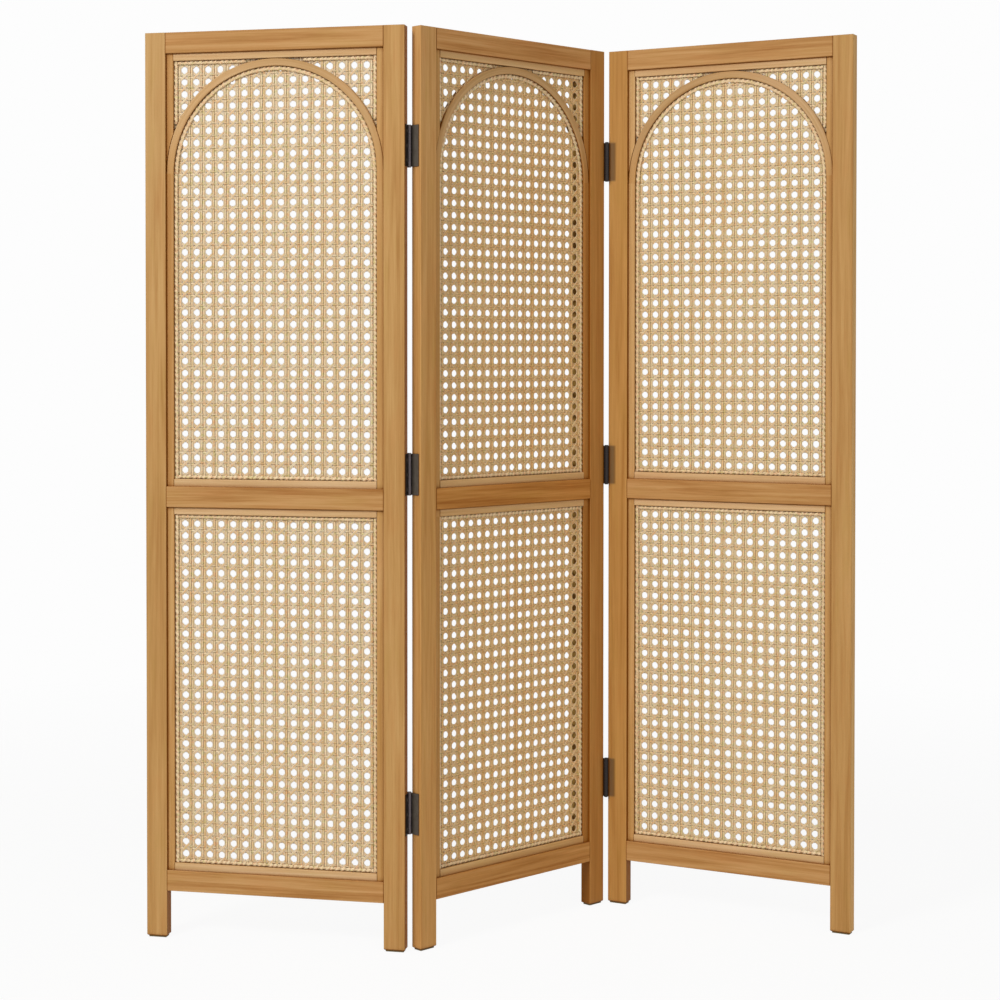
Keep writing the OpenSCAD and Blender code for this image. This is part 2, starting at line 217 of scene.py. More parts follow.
def panel_coordinates(graph, panel):
    """Coordinates across the panel, through it and up, in metres."""
    start = -np.array([panel.across @ panel.corner, panel.back @ panel.corner, 0.0])
    inputs = {"Vector": graph.coordinates(), "Location": tuple(start),
              "Rotation": (0, 0, -panel.turn)}
    return graph.add("Mapping", inputs, vector_type="POINT").outputs[0]


def off_middle(graph, across):
    """How far a place lies from the panel's upright middle line."""
    return graph.math("ABSOLUTE", graph.math("SUBTRACT", across, PANEL_W / 2))


# Faint changes of hue from place to place: the bands of a noise in which a colour turns, each with
# the tone it takes there, and how far it turns
WOOD_HUES, WOOD_HUE = ((0.55, 0.70, (1.0, 0.88, 0.84)), (0.45, 0.30, (0.92, 0.97, 0.80))), 0.35
CANE_HUES, CANE_HUE = ((0.55, 0.66, (1.0, 0.82, 0.74)), (0.45, 0.34, (0.84, 0.92, 0.68))), 0.9


def hued(graph, noise, color, hues, strength):
    """Turns a colour rosy where a noise is high, and green where it is low."""
    for start, full, tone in hues:
        color = graph.tint(graph.stretch(noise, start, full, 0.0, strength), color, tone)
    return color


# The axes that grain runs along
ACROSS, UP = 0, 2
# Layers of the grain, which are broad bands, streaks, fibres, pores and hues: the noise's scales
# across the grain and along it, and its detail, roughness and distortion
GRAIN = ((75, 2.4, 3, 0.55, 0.7), (260, 6.0, 4, 0.6, 0.4), (1400, 30, 3, 0.6, 0.0),
         (2300, 90, 1, 0.5, 0.0), (48, 9, 2, 0.5, 0.0))
SEED_STEP = (0.37, 0.61, 0.23)
# Shares of bands, streaks and fibres in the shade, and of fibres, streaks and pores in the relief
BROAD_SHADE, STREAK_SHADE, FIBRE_SHADE = 0.54, 0.28, 0.18
FIBRE_RELIEF, STREAK_RELIEF, PORE_RELIEF = 0.6, 0.4, -0.5
PORE_BAND, PORE_SHADE = (0.68, 0.80), 0.45


def grain(graph, local, along, stops, seed):
    """Colour, height and fibres of straight-grained wood whose grain runs along the axis given."""
    shift = tuple(seed * step for step in SEED_STEP)
    moved = graph.add("VectorMath", {0: local, 1: shift}, operation="ADD").outputs[0]
    layers = []
    for cross, length, detail, roughness, distortion in GRAIN:
        factors = [cross, cross, cross]
        factors[along] = length
        place = graph.scaled(moved, tuple(factors))
        layers.append(graph.noise(place, detail, roughness, distortion))
    broad, streaks, fibres, pores, hues = layers
    shade = graph.weighted((broad, BROAD_SHADE), (streaks, STREAK_SHADE), (fibres, FIBRE_SHADE))
    color = hued(graph, hues, graph.ramp(shade, stops), WOOD_HUES, WOOD_HUE)
    dots = graph.stretch(pores, *PORE_BAND)
    darkest = stops[0][1]
    color = graph.mix(graph.math("MULTIPLY", dots, PORE_SHADE), color, darkest)
    relief = graph.weighted((fibres, FIBRE_RELIEF), (streaks, STREAK_RELIEF), (dots, PORE_RELIEF))
    return color, relief, fibres


SHADE_PLACES = (0.36, 0.50, 0.64)


def shades(dark, middle, light):
    return [(place, srgb(text)) for place, text in zip(SHADE_PLACES, (dark, middle, light))]


def toned(stops, tone):
    """The same shades on a board of another tone."""
    return [(place, tuple(c * t for c, t in zip(color, tone))) for place, color in stops]


STILE_SHADES = shades("b38147", "c39458", "cfa266")
RAIL_SHADES = shades("a66f36", "c28f55", "d3a46c")
BEAD_SHADES = shades("bc8a4c", "cb9a5d", "d9ac71")
END_BEAD_SHADES = shades("cda16c", "dcb482", "e9c597")
ARCH_SHADES = shades("b88e58", "c89e6a", "d6b07f")
INNER_SHADES = shades("a8783f", "b88a50", "c69a60")
# Tones of boards, beads and halves of arches that are redder, darker or paler than the rest, partly
# their own tones and partly painted light and shade, such as the darker, redder tones of painted
# shade and warm bounce light around the fold between the center and right panels; the tone of a
# panel's beads is that of its right-hand side beads
BOARD_TONES_AND_SHADE = {
    "center_panel_left_stile": (1.12, 1.08, 1.02),
    "center_panel_right_stile": (0.90, 0.76, 0.56),
    "center_panel_top_rail": (1.10, 1.06, 1.04),
    "center_panel_middle_rail": (0.99, 0.84, 0.56),
    "center_panel_bottom_rail": (1.01, 0.94, 0.78),
    "center_panel_beads": (0.80, 0.64, 0.42),
    "center_panel_end_beads": (1.0, 0.97, 0.86),
    "right_panel_left_stile": (0.96, 0.87, 0.68),
    "left_panel_upper_left_bead": (0.90, 0.84, 0.77),
    "right_panel_upper_left_bead": (1.10, 1.19, 1.38),
    "center_panel_low_beads": (0.91, 0.87, 0.80),
    "left_panel_arch_left": (1.13, 1.15, 1.21),
    "right_panel_arch_left": (0.94, 0.95, 0.97),
    "right_panel_arch_right": (1.06, 1.10, 1.22),
}
# Painted light: the top of a stile alone is paler, in a tone that fades in between two heights
TOP_LIGHT_TONES = {
    "left_panel_left_stile": (1.08, 1.16, 1.32),
    "center_panel_left_stile": (1.06, 1.10, 1.24),
}
TOP_FROM, TOP_TO = 1.10, 1.60
# Painted shade on the right-hand side face of the left panel's right stile, and painted light on
# that of the right panel's right stile
EDGE_LIGHT_AND_SHADE = {
    "left_panel_right_stile": (0.60, 0.42, 0.20),
    "right_panel_right_stile": (1.40, 1.48, 1.50),
}
# A face is told from others by its place, to within this
SKIN = 0.00012
# Painted shade in corners: the colour, how near the corner is, and how much open sky is left
# where the shade starts and where it is full
CREVICE = srgb("8a4e08")
SHADE_REACH, SHADE_SKY = 0.010, (0.84, 0.55)
WOOD_SHEEN, WOOD_ROUGH, WOOD_BUMP = 0.16, (0.52, 0.68), (0.00025, 0.35)
# The band that nearly all of a noise lies in
NOISE_BAND = (0.3, 0.7)


def tone_of(part):
    return BOARD_TONES_AND_SHADE.get(part, PLAIN)


def finish_wood(graph, color, height, fibres):
    """Wood with painted shade in its corners, a little rougher on its fibres."""
    color = graph.mix(graph.stretch(graph.open_sky(SHADE_REACH), *SHADE_SKY), color, CREVICE)
    rough = graph.stretch(fibres, *NOISE_BAND, *WOOD_ROUGH)
    return graph.finish(color, rough, height, WOOD_BUMP, **{"Specular IOR Level": WOOD_SHEEN})


# Painted shadows of the barrels on the face of a stile beside its hinges: the colour near the
# barrels and away from them, their width, soft edge and depth, their strength, and where in the
# width the colour changes
BARREL_SHADOW_BOARD = "right_panel_left_stile"
BARREL_SHADOW_COLORS, BARREL_SHADOW_W, BARREL_SHADOW_SOFT, BARREL_SHADOW_DEEP = ("464e46", "674725"), 0.0150, 0.0020, 0.0020
BARREL_SHADOW_STRENGTH, BARREL_SHADOW_CHANGE = 0.75, (0.2 * BARREL_SHADOW_W, 0.9 * BARREL_SHADOW_W)


def barrel_shadows(graph, local, color):
    """Paints the shadows of the barrels of the right hinges beside them."""
    across, depth, up = graph.split(local)
    shadow_bands = 0.0
    for level in HINGE_LEVELS:
        low, high = (corner[2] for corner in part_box(f"right_hinge_{level}_outer_leaf"))
        above = graph.stretch(up, low - BARREL_SHADOW_SOFT, low + BARREL_SHADOW_SOFT)
        below = graph.stretch(up, high + BARREL_SHADOW_SOFT, high - BARREL_SHADOW_SOFT)
        shadow_bands = graph.math("ADD", graph.math("MULTIPLY", above, below), shadow_bands)
    near = graph.stretch(across, BARREL_SHADOW_W + BARREL_SHADOW_SOFT, BARREL_SHADOW_W - BARREL_SHADOW_SOFT, 0.0, BARREL_SHADOW_STRENGTH)
    in_front = graph.stretch(depth, BARREL_SHADOW_DEEP + BARREL_SHADOW_SOFT, BARREL_SHADOW_DEEP)
    grey, brown = (srgb(text) for text in BARREL_SHADOW_COLORS)
    shadow_color = graph.mix(graph.stretch(across, *BARREL_SHADOW_CHANGE), grey, brown)
    near = graph.math("MULTIPLY", near, in_front)
    return graph.mix(graph.math("MULTIPLY", near, shadow_bands), color, shadow_color)


# A rail is darker on a narrow line where it meets a stile, and a stile's face towards the opening
# has painted shade from a depth on
JOINT_LINE, JOINT_SHADE = 0.0022, 0.75
WALL_START, WALL_SHADE = 0.0006, 0.8


def wood(board, panel, along, stops, seed):
    """A stile, with its grain up the panel, or a rail, with its grain across it."""
    graph = new_material(board + "_wood")
    local = panel_coordinates(graph, panel)
    color, height, fibres = grain(graph, local, along, stops, seed)
    across, depth, up = graph.split(local)
    off_center = off_middle(graph, across)
    end = PANEL_W / 2 - STILE_W
    if along == ACROSS:
        joint = graph.stretch(off_center, end - JOINT_LINE, end, 0.0, JOINT_SHADE)
        color = graph.mix(joint, color, CREVICE)
    else:
        # Painted shade on the stile's face towards the opening
        facing = graph.stretch(off_center, end + 2 * SKIN, end + SKIN)
        set_back = graph.stretch(depth, WALL_START, 2 * WALL_START, 0.0, WALL_SHADE)
        color = graph.mix(graph.math("MULTIPLY", facing, set_back), color, CREVICE)
    # Painted light towards the top of the stile
    if board in TOP_LIGHT_TONES:
        color = graph.tint(graph.stretch(up, TOP_FROM, TOP_TO), color, TOP_LIGHT_TONES[board])
    # Painted shade and light on a stile's right-hand side face
    if board in EDGE_LIGHT_AND_SHADE:
        at_edge = graph.stretch(across, PANEL_W - 3 * SKIN, PANEL_W - SKIN)
        color = graph.tint(at_edge, color, EDGE_LIGHT_AND_SHADE[board])
    # Painted shadows of the hinges' barrels on the stile's face
    if board == BARREL_SHADOW_BOARD:
        color = barrel_shadows(graph, local, color)
    return finish_wood(graph, color, height, fibres)


def sides_and_ends(graph, local, is_end, side_stops, end_stops, seed):
    """Colours of upright side pieces and of level end pieces, and the height and fibres of both."""
    side, side_height, fibres = grain(graph, local, UP, side_stops, seed)
    end, end_height, _ = grain(graph, local, ACROSS, end_stops, seed + 1)
    is_side = graph.math("SUBTRACT", 1.0, is_end)
    height = graph.weighted((side_height, is_side), (end_height, is_end))
    return side, end, height, fibres


# Painted shadow on the beads along the left stile and under the rails above them: its width, its
# soft edge, and how dark it is at each
SHADOW_W, SHADOW_SOFT, STILE_SHADOW, RAIL_SHADOW = 0.0013, 0.0009, 0.85, 0.6


def bead_wood(panel, seed):
    """The beads at the ends of an opening are paler and have their grain across the panel."""
    graph = new_material(panel.body + "_bead_wood")
    local = panel_coordinates(graph, panel)
    across, _, up = graph.split(local)
    is_end = graph.math("LESS_THAN", off_middle(graph, across), PANEL_W / 2 - STILE_W - BEAD_W)
    end_stops = toned(END_BEAD_SHADES, tone_of(panel.body + "_end_beads"))
    side, end, height, fibres = sides_and_ends(graph, local, is_end, BEAD_SHADES, end_stops, seed)
    is_right = graph.math("GREATER_THAN", across, PANEL_W - STILE_W - BEAD_W)
    # The right-hand side beads' tone, on the center panel painted shade and warm bounce light
    side = graph.tint(is_right, side, tone_of(panel.body + "_beads"))
    is_left = graph.math("LESS_THAN", across, STILE_W + BEAD_W)
    is_upper = graph.math("GREATER_THAN", up, LEVELS["upper"][0])
    is_upper_left = graph.math("MULTIPLY", is_left, is_upper)
    # The upper left bead's tone, partly painted shade
    side = graph.tint(is_upper_left, side, tone_of(panel.body + "_upper_left_bead"))
    color = graph.mix(is_end, side, end)
    is_low = graph.math("LESS_THAN", up, LEVELS["lower"][1] - BEAD_W)
    color = graph.tint(is_low, color, tone_of(panel.body + "_low_beads"))
    # Painted shadow cast by the left stile and by the rails on the beads
    line = graph.stretch(across, STILE_W + SHADOW_W + SHADOW_SOFT, STILE_W + SHADOW_W, 0.0, STILE_SHADOW)
    for _, top in LEVELS.values():
        below = graph.math("ABSOLUTE", graph.math("SUBTRACT", up, top))
        under_rail = graph.stretch(below, SHADOW_W + SHADOW_SOFT, SHADOW_W, 0.0, RAIL_SHADOW)
        line = graph.math("MAXIMUM", line, under_rail)
    color = graph.mix(line, color, CREVICE)
    return finish_wood(graph, color, height, fibres)


# Painted shade, in patches, on the battens and the backing arch where they show through the
# webbing:
# the depth of their front faces, the colours, the patches' scale and the band of the noise in which
# the colour changes
BATTEN_FRONT, HIDDEN_SHADE_COLORS = 0.0130, ("6a480c", "b8924a")
HIDDEN_SHADE_SCALE, HIDDEN_SHADE_BAND = (45, 45, 45), (0.42, 0.58)


def shaded_behind_webbing(graph, local, color, inward):
    """Paints shade on the faces that show through the webbing, in front and inward, in big patches.
    """
    depth = graph.split(local)[1]
    in_front = graph.stretch(depth, BATTEN_FRONT + 2 * SKIN, BATTEN_FRONT + SKIN)
    patches = graph.noise(graph.scaled(local, HIDDEN_SHADE_SCALE), detail=1)
    dark, light = (srgb(text) for text in HIDDEN_SHADE_COLORS)
    hidden_shade = graph.mix(graph.stretch(patches, *HIDDEN_SHADE_BAND), dark, light)
    return graph.mix(graph.math("MAXIMUM", in_front, inward), color, hidden_shade)


def batten_wood(panel, seed):
    """The battens at the ends of an opening have their grain across the panel."""
    graph = new_material(panel.body + "_inner_wood")
    local = panel_coordinates(graph, panel)
    across = graph.split(local)[0]
    left, right = STILE_W + BATTEN_W, PANEL_W - STILE_W - WIDE_BATTEN_W
    is_end = graph.math("MULTIPLY", graph.math("GREATER_THAN", across, left),
                        graph.math("LESS_THAN", across, right))
    stops = INNER_SHADES
    side, end, height, fibres = sides_and_ends(graph, local, is_end, stops, stops, seed)
    inward = [graph.add("Math", {0: across, 1: place, 2: SKIN}, operation="COMPARE").outputs[0]
              for place in (left, right)]
    # Painted shade where the battens show through the webbing
    color = shaded_behind_webbing(graph, local, graph.mix(is_end, side, end), graph.math("MAXIMUM", *inward))
    return finish_wood(graph, color, height, fibres)


# How far from its crown an arch has the full tone of its half
SIDE_FADE = 0.120
# Between which heights above its centre an arch takes the beads' shade, and how much of it
TIP_BAND, TIP_SHADE = (0.090, 0.010), 0.85


def bent_wood(part, panel, stops, seed, is_strip):
    """The grain of an arch follows its curve; the strip in front ends in the beads' shade."""
    graph = new_material(f"{panel.body}_{part}_wood")
    local = panel_coordinates(graph, panel)
    across, depth, up = graph.split(local)
    u = graph.math("SUBTRACT", across, ARCH_CENTER[0])
    z = graph.math("SUBTRACT", up, ARCH_CENTER[1])
    radius = graph.math("SQRT", graph.weighted((u, u), (z, z)))
    length = graph.math("MULTIPLY", graph.math("ARCTAN2", z, u), ARCH_R)
    bent = graph.add("CombineXYZ", {0: radius, 1: depth, 2: length}).outputs[0]
    color, height, fibres = grain(graph, bent, UP, stops, seed)
    if not is_strip:
        # Painted shade where the backing arch shows through the webbing
        inward = graph.stretch(radius, BACKING_R + 2 * SKIN, BACKING_R + SKIN)
        return finish_wood(graph, shaded_behind_webbing(graph, local, color, inward), height, fibres)
    for half, full in (("left", -SIDE_FADE), ("right", SIDE_FADE)):
        tone = tone_of(f"{panel.body}_arch_{half}")
        color = graph.tint(graph.stretch(u, 0.0, full), color, tone)
    _, left_color = BEAD_SHADES[1]
    _, right_color = toned(BEAD_SHADES, tone_of(panel.body + "_beads"))[1]
    ends = graph.mix(graph.math("GREATER_THAN", u, 0.0), left_color, right_color)
    color = graph.mix(graph.stretch(z, *TIP_BAND, 0.0, TIP_SHADE), color, ends)
    return finish_wood(graph, color, height, fibres)


# Cane's colours: pale, middle, the dark line of painted shade, and the painted highlight on the
# edge
EDGE_HIGHLIGHT = "fff1df"
EDGING_COLORS = ("fbe2b8", "e8c594", "7a4c18", EDGE_HIGHLIGHT)
WEBBING_COLORS = ("ffeecd", "f5d09a", "866d3c", EDGE_HIGHLIGHT)
# Tones of the panels' webbing; the center panel's redder, darker tone is painted shade and warm
# bounce light
CANE_TONES_AND_SHADE = {"left": (1.0, 0.96, 0.91), "center": (1.0, 0.85, 0.63), "right": (1.0, 0.96, 0.87)}
# Noise scales of patches, specks and hues; shares of patches, specks and a strand's own tone in
# the shade, and the band of the shade between the middle and the pale colour
PATCH_SCALE, SPECK_SCALE, HUE_SCALE = (55, 55, 55), (420, 420, 420), (170, 170, 170)
PATCH_SHADE, SPECK_SHADE, TONE_SHADE, CANE_BAND = 0.5, 0.5, 0.22, (0.34, 0.66)
# Painted shade: the dark line starts at this value of "rim"; how dark it is, how dark a strand is
# under others, and how much of its painted highlight is left there
RIM_START, RIM_SHADE, UNDER_SHADE, UNDER_HIGHLIGHT = 0.3, 0.75, 0.45, 0.6
CANE_ROUGH, CANE_BUMP, CANE_SHEEN = (0.42, 0.6), (0.0001, 0.3), 0.35
# Values that a strand's points carry: painted shade on the dark line (1) or a painted highlight on
# the edge (-1), the strand's own tone, and how far it lies under others, which sets its painted
# shade
STRAND_VALUES = ("rim", "tone", "under")


def cane_material(name, colors, panel_tone=PLAIN):
    """Peeled cane: pale, a little glossy, with painted shade along a line of a strand and under
    other strands, and a painted highlight on its edge.
    """
    light, middle, dark_line, edge_highlight = (srgb(text) for text in colors)
    graph = new_material(name)
    place = graph.coordinates()
    rim, tone, under = (graph.add("Attribute", attribute_name=label).outputs["Fac"]
                        for label in STRAND_VALUES)
    patches = graph.noise(graph.scaled(place, PATCH_SCALE), detail=3)
    specks = graph.noise(graph.scaled(place, SPECK_SCALE), detail=2)
    hues = graph.noise(graph.scaled(place, HUE_SCALE), detail=2)
    own = graph.math("SUBTRACT", tone, 0.5)
    shade = graph.weighted((patches, PATCH_SHADE), (specks, SPECK_SHADE), (own, TONE_SHADE))
    color = graph.mix(graph.stretch(shade, *CANE_BAND), middle, light)
    color = hued(graph, hues, color, CANE_HUES, CANE_HUE)
    # Painted shade on the dark line and where a strand lies under others
    line = graph.math("MULTIPLY", graph.stretch(rim, RIM_START, 1.0), RIM_SHADE)
    shadow = graph.math("MAXIMUM", line, graph.math("MULTIPLY", under, UNDER_SHADE))
    color = graph.mix(shadow, color, dark_line)
    # Painted highlight on a strand's edge
    highlight = graph.math("MULTIPLY", graph.stretch(rim, 0.0, -1.0),
                      graph.stretch(under, 0.0, 1.0, 1.0, UNDER_HIGHLIGHT))
    color = graph.tint(1.0, graph.mix(highlight, color, edge_highlight), panel_tone)
    rough = graph.stretch(specks, *NOISE_BAND, *CANE_ROUGH)
    return graph.finish(color, rough, specks, CANE_BUMP, **{"Specular IOR Level": CANE_SHEEN})


# Bronze of the hinges' barrels and leaves, where it is worn, and painted shade beside the barrels;
# the same bronze has a pale barrel on the left fold and a dark one on the right as painted light
# and shade, and the outer leaves have a colour of painted shade
LIT_AND_SHADED_BARRELS = {"left": "81777a", "right": "2a2627"}
LEAF_COLOR, SHADED_LEAF_COLOR, WORN_COLOR, HINGE_SHADE_COLOR = "665e54", "160b04", "302a24", "0c0603"
# Beyond the barrel: where a leaf's colour is full, and where a line of painted shade fades out and
# is full
LEAF_FULL, HINGE_SHADE_OUT, HINGE_SHADE_FULL = 0.0004, 0.0029, 0.0020
WORN_SCALE, FINE_SCALE = (90, 90, 90), (900, 900, 900)
WORN_BAND, WORN_SHADE = (0.38, 0.72), 0.35
HINGE_SHADE_REACH, HINGE_SHADE_SKY, HINGE_SHADE_STRENGTH, HINGE_SHADE_LINE = 0.006, (0.80, 0.5), 0.94, 0.95
# Open sky that is added on a barrel, which gets less painted shade
BARREL_SKY = 0.30
BRONZE_ROUGH, BRONZE_BUMP, BRONZE_METAL, BRONZE_SHEEN = (0.38, 0.52), (0.00008, 0.3), 0.1, 0.22


def bronze_material(name, axis, barrel, leaf):
    """Dark bronze, with painted shade in its corners and where the leaves meet the barrel."""
    graph = new_material(name)
    place = graph.coordinates()
    worn = graph.noise(graph.scaled(place, WORN_SCALE), detail=4, roughness=0.65)
    fine = graph.noise(graph.scaled(place, FINE_SCALE), detail=2)
    flat = graph.scaled(place, (1.0, 1.0, 0.0))
    foot = (axis[0], axis[1], 0.0)
    off_axis = graph.add("VectorMath", {0: flat, 1: foot}, operation="DISTANCE").outputs["Value"]
    is_leaf = graph.stretch(off_axis, BARREL_R, BARREL_R + LEAF_FULL)
    color = graph.mix(is_leaf, srgb(barrel), srgb(leaf))
    worn_part = graph.stretch(worn, *WORN_BAND, 0.0, WORN_SHADE)
    color = graph.mix(worn_part, color, srgb(WORN_COLOR))
    is_barrel = graph.math("SUBTRACT", 1.0, is_leaf)
    barrel_sky = graph.math("MULTIPLY", is_barrel, BARREL_SKY)
    # Painted shade in corners and on a line where the leaves meet the barrel
    sky = graph.math("ADD", graph.open_sky(HINGE_SHADE_REACH), barrel_sky)
    hinge_shade = graph.stretch(sky, *HINGE_SHADE_SKY, 0.0, HINGE_SHADE_STRENGTH)
    beside = graph.stretch(off_axis, BARREL_R + HINGE_SHADE_OUT, BARREL_R + HINGE_SHADE_FULL, 0.0, HINGE_SHADE_LINE)
    line = graph.math("MULTIPLY", is_leaf, beside)
    color = graph.mix(graph.math("MAXIMUM", hinge_shade, line), color, srgb(HINGE_SHADE_COLOR))
    rough = graph.stretch(fine, *NOISE_BAND, *BRONZE_ROUGH)
    return graph.finish(color, rough, fine, BRONZE_BUMP,
                        **{"Metallic": BRONZE_METAL, "Specular IOR Level": BRONZE_SHEEN})


FELT_SCALE, FELT_COLORS = (1500, 1500, 1500), ("5a4a24", "7c683c")
FELT_ROUGH, FELT_BUMP = 0.95, (0.0003, 0.6)


def pad_material():
    graph = new_material("foot_felt")
    felt = graph.noise(graph.scaled(graph.coordinates(), FELT_SCALE), detail=3, roughness=0.7)
    dark, light = (srgb(text) for text in FELT_COLORS)
    color = graph.mix(graph.stretch(felt, *NOISE_BAND), dark, light)
    return graph.finish(color, FELT_ROUGH, felt, FELT_BUMP)


def dress(node_name, material):
    """Gives a CAD node its material."""
    mesh = frame["nodes"][node_name].data
    mesh.materials.clear()
    mesh.materials.append(material)


BOARDS = (
    ("left_stile", UP, STILE_SHADES),
    ("right_stile", UP, STILE_SHADES),
    ("top_rail", ACROSS, RAIL_SHADES),
    ("middle_rail", ACROSS, RAIL_SHADES),
    ("bottom_rail", ACROSS, RAIL_SHADES),
)

felt = pad_material()
for number, panel in enumerate(PANELS.values()):
    start, seed = panel.body + "_", 10 * number
    for step, (board, along, stops) in enumerate(BOARDS):
        board = start + board
        # A board's tone, partly painted shade and warm bounce light
        dress(board, wood(board, panel, along, toned(stops, tone_of(board)), seed + step))
    beads = bead_wood(panel, seed + 5)
    dress(start + "upper_beads", beads)
    dress(start + "lower_beads", beads)
    dress(start + "arch", bent_wood("arch", panel, ARCH_SHADES, seed + 7, is_strip=True))
    dress(start + "inner_frame", batten_wood(panel, seed + 8))
    backing = bent_wood("backing", panel, INNER_SHADES, seed + 9, is_strip=False)
    dress(start + "backing_arch", backing)
    dress(start + "foot_pads", felt)
for side, barrel in LIT_AND_SHADED_BARRELS.items():
    axis = pivots[side + "_fold"]
    center_leaf = bronze_material(side + "_hinge_center_bronze", axis, barrel, LEAF_COLOR)
    # The outer leaves take the colour of painted shade
    outer_leaf = bronze_material(side + "_hinge_outer_bronze", axis, barrel, SHADED_LEAF_COLOR)
    for level in HINGE_LEVELS:
        dress(f"{side}_hinge_{level}_center_leaf", center_leaf)
        dress(f"{side}_hinge_{level}_outer_leaf", outer_leaf)
    dress(side + "_hinge_pins", center_leaf)
for name in PANELS:
    fold = "right" if name == "right" else "left"
    screws = bronze_material(name + "_screw_bronze", pivots[fold + "_fold"], LEAF_COLOR, LEAF_COLOR)
    dress(name + "_panel_hinge_screws", screws)


# ---- woven cane

CANE_COLUMNS = {"left": 16, "center": 17, "right": 17}
CANE_ROWS = {"upper": 34, "lower": 28}
# From the edges of the opening to the middles of the first holes, and to the edge of the sheet
CANE_SIDE, CANE_END, CANE_TRIM = 0.034, 0.031, 0.0015
# Half the width and height of an opening between strands, and its half width across the diagonals
OPEN_U, OPEN_Z, OPEN_SLANT = 0.00526, 0.00556, 0.0055
PAIR_GAP = 0.00008
STRAND_T = 0.0004
# Depths from the middle of the sheet, where strands pass in front of others or behind them
OUTER, BETWEEN, CROSSING = 0.00043, 0.0, 0.00024
# How far on both sides of a hole's middle a paired strand keeps its depth there, and how far on
# both sides of a crossing a slanting one does, in steps from one crossing to the next
REACH, SLANT_REACH = 0.0036, 0.27
# Painted shade: how much darker a strand is beside a hole, over others, under others and at its
# ends
BESIDE, BESIDE_BEHIND, OVER, UNDER, AT_END = 0.0, 0.40, 0.15, 1.0, 0.5
SLANT_UNDER, SLANT_OVER = 0.7, {1: 0.1, -1: 0.25}
# In steps: the shortest slanting strand, and how near to its ends it may still bend
SLANT_LEAST, SLANT_MARGIN = 0.5, 0.1
# How far a pair of strands lies and sways off its line, the least share of the sway, the lengths
# of its waves, and how much narrower a strand may be
WANDER, SWAY, SWAY_LEAST, SWAY_WAVES, NARROW = 0.00030, 0.00030, 0.3, (0.07, 0.14), 0.10
# Sections of a strand: place across it, depth, and its painted shade there (below 0: painted
# highlight);
# a paired strand has its dark line and highlight only on the side that faces the holes
FLAT = ((-0.5, 0.35, -1.0), (-0.35, -0.1, -1.0), (-0.26, -0.28, 1.0), (0.0, -0.5, 0.0),
        (0.26, -0.28, 1.0), (0.35, -0.1, -1.0), (0.5, 0.35, -1.0))
PAIRED = ((-0.5, 0.35, -1.0), (-0.37, -0.1, -1.0), (-0.29, -0.27, 1.0), (-0.13, -0.42, 0.9),
          (0.10, -0.5, 0.0), (0.5, -0.2, 0.1))
WOUND = ((-0.5, 0.8, 0.75), (-0.36, 0.0, 0.2), (0.0, -0.5, 0.0), (0.36, 0.0, 0.2), (0.5, 0.8, 0.75))
# The core is round, with painted shade on its side towards the wood
CORE_SIDES, CORE_SHADE, CORE_CHANGE = 8, 0.45, 0.55
CORE = tuple((0.5 * math.cos(a), -0.5 * math.sin(a), CORE_SHADE + CORE_CHANGE * math.cos(a))
             for a in [math.pi * (1 - 2 * k / CORE_SIDES) for k in range(CORE_SIDES)])


class Strands:
    """Collects strands, and makes one mesh of them."""

    def __init__(self):
        self.points, self.quads, self.caps, self.values = [], [], [], []
        self.count = 0

    def add(self, line, sideways, width, thickness, tone, under, inward=(0.0, 1.0, 0.0),
            section=FLAT):
        """A strand along a line of points, with its face square to the inward direction."""
        line = np.asarray(line, float)
        inward = np.broadcast_to(np.asarray(inward, float), line.shape)
        sideways = np.broadcast_to(np.asarray(sideways, float), line.shape)
        if np.cross(sideways[0], line[1] - line[0]) @ inward[0] > 0:
            section = section[::-1]
        rows, size = len(line), len(section)
        self.points.append(np.stack([line + s * width * sideways + o * thickness * inward
                                     for s, o, _ in section], axis=1).reshape(-1, 3))
        rim = np.tile([r for _, _, r in section], rows)
        under = np.repeat(np.broadcast_to(np.asarray(under, float), rows), size)
        self.values.append(np.stack([rim, np.full(rows * size, tone), under], axis=1))
        row = np.arange(rows - 1)[:, None] * size + self.count
        i = np.arange(size)[None, :]
        j = (i + 1) % size
        quads = np.stack([row + i, row + j, row + size + j, row + size + i], axis=-1)
        self.quads.append(quads.reshape(-1, 4))
        last = self.count + (rows - 1) * size
        self.caps.append([self.count + k for k in reversed(range(size))])
        self.caps.append([last + k for k in range(size)])
        self.count += rows * size

    def build(self, name, panel, material):
        points = panel.place(np.concatenate(self.points)).astype(np.float32)
        quads = np.concatenate(self.quads)
        corners = np.concatenate([quads.ravel(), np.concatenate(self.caps)]).astype(np.int32)
        sizes = np.array([4] * len(quads) + [len(cap) for cap in self.caps])
        mesh = bpy.data.meshes.new(name)
        mesh.vertices.add(len(points))
        mesh.vertices.foreach_set("co", points.ravel())
        mesh.loops.add(len(corners))
        mesh.loops.foreach_set("vertex_index", corners)
        mesh.polygons.add(len(sizes))
        mesh.polygons.foreach_set("loop_start", (np.cumsum(sizes) - sizes).astype(np.int32))
        mesh.polygons.foreach_set("use_smooth", np.ones(len(sizes), bool))
        mesh.update(calc_edges=True)
        values = np.concatenate(self.values).astype(np.float32)
        for column, label in enumerate(STRAND_VALUES):
            attribute = mesh.attributes.new(label, "FLOAT", "POINT")
            attribute.data.foreach_set("value", values[:, column].copy())
        mesh.materials.append(material)
        return add_object(name, mesh)


def sway(chance):
    """How far off its line a strand is at a place along it."""
    shift, reach = chance.uniform(-WANDER, WANDER), chance.uniform(SWAY_LEAST, 1.0) * SWAY
    wave, phase = chance.uniform(*SWAY_WAVES), chance.uniform(0, math.tau)
    return lambda place: shift + reach * math.sin(math.tau * place / wave + phase)


